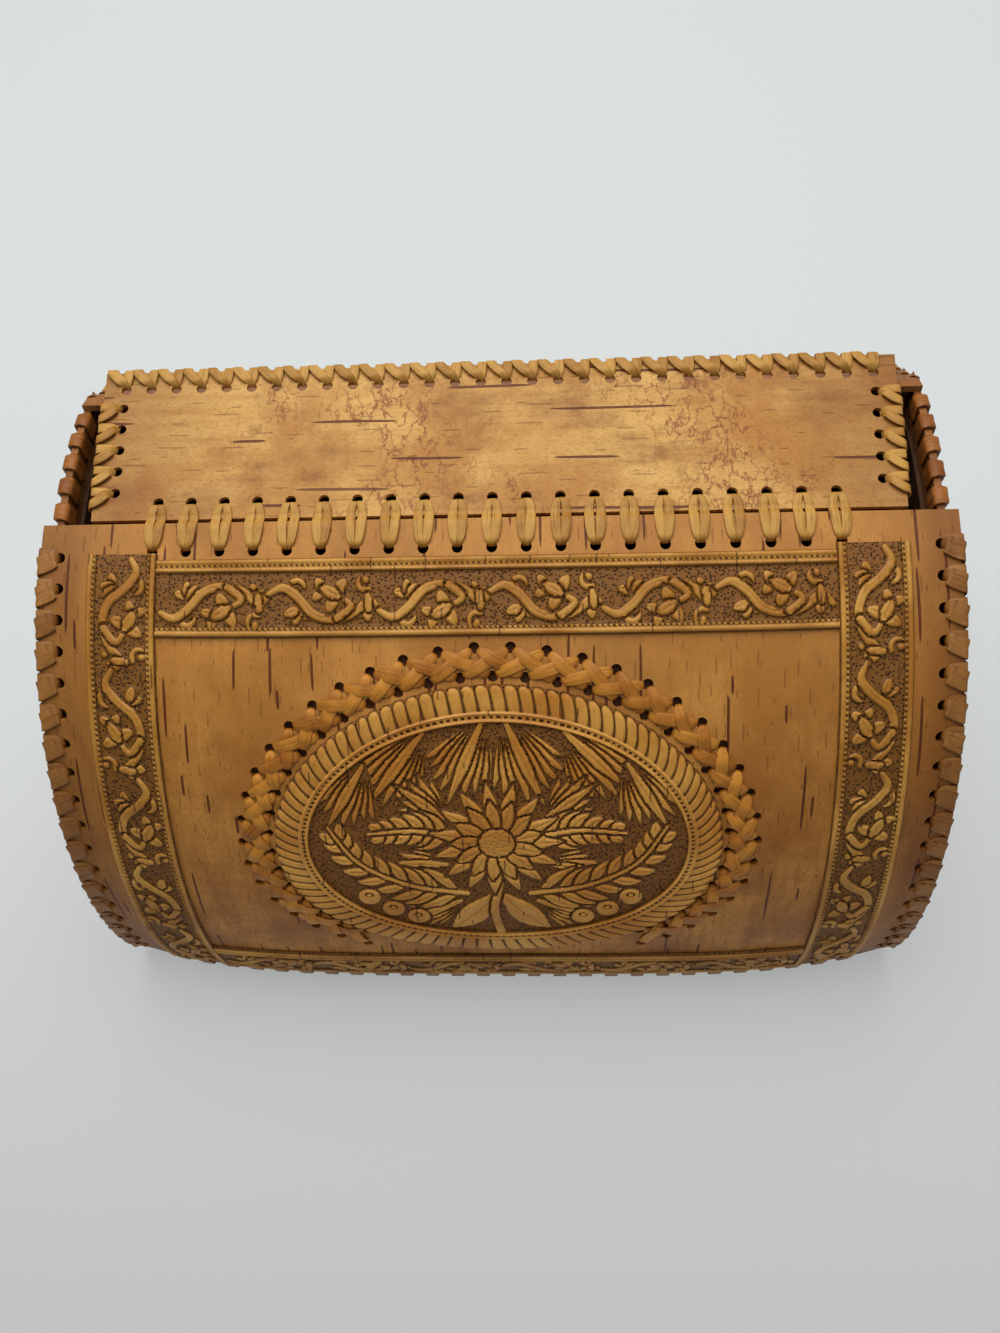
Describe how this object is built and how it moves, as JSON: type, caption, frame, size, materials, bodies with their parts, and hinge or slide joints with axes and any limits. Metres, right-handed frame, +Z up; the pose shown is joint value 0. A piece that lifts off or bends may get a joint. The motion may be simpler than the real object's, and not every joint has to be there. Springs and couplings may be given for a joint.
{
  "type": "birch bark box with hinged flap",
  "caption": "Barrel-vaulted box of laced birch bark sheets with a narrow hinged bark flap on top, embossed border bands and an oval feather-rimmed medallion.",
  "frame": {"origin": "on the surface that the box stands on, below the middle of the box", "axes": "+X along the box, -Y towards the decorated front, +Z up"},
  "size_m": [0.2514, 0.2207, 0.14],
  "materials": {
    "body_bark": "matt peeled birch bark, brown inner side out",
    "front_bark": "matt birch bark with long dark pores, slightly burnished",
    "flap_bark": "matt pale golden birch bark with long dark pores",
    "lining_bark": "matt dark bark",
    "embossed_bark": "tooled bark, polished on the raised parts and dark in the hollows",
    "medallion_strip": "smooth orange-brown bark strip",
    "lacing_strip": "smooth light tan bark strip"
  },
  "bodies": {
    "box": {"end_wall_left": "body_bark", "end_wall_right": "body_bark", "back_panel": "body_bark", "floor_panel": "body_bark", "front_panel": "front_bark", "floor_lining": "lining_bark", "end_lining_left": "lining_bark", "end_lining_right": "lining_bark", "front_lining": "lining_bark", "back_lining": "lining_bark", "band_top": "embossed_bark", "band_bottom": "embossed_bark", "band_left": "embossed_bark", "band_right": "embossed_bark", "medallion": "embossed_bark", "medallion_lacing": "medallion_strip", "front_lacing_left": "lacing_strip", "front_lacing_right": "lacing_strip", "back_lacing_left": "lacing_strip", "back_lacing_right": "lacing_strip", "rim_lacing_left": "lacing_strip", "rim_lacing_right": "lacing_strip", "back_top_lacing": "lacing_strip", "foot_lacing_front": "lacing_strip", "foot_lacing_back": "lacing_strip", "foot_lacing_left": "lacing_strip", "foot_lacing_right": "lacing_strip", "hinge_lacing_front": "lacing_strip"},
    "flap": {"flap_panel": "flap_bark", "flap_lining": "lining_bark", "flap_lacing_far": "lacing_strip", "flap_lacing_left": "lacing_strip", "flap_lacing_right": "lacing_strip", "hinge_lacing_flap": "lacing_strip"}
  },
  "joints": [
    {"name": "flap_hinge", "type": "hinge", "parent": "box", "child": "flap", "pos_m": [0, -0.02631, 0.13309], "axis": [1, 0, 0], "range_deg": [0, 120]}
  ]
}
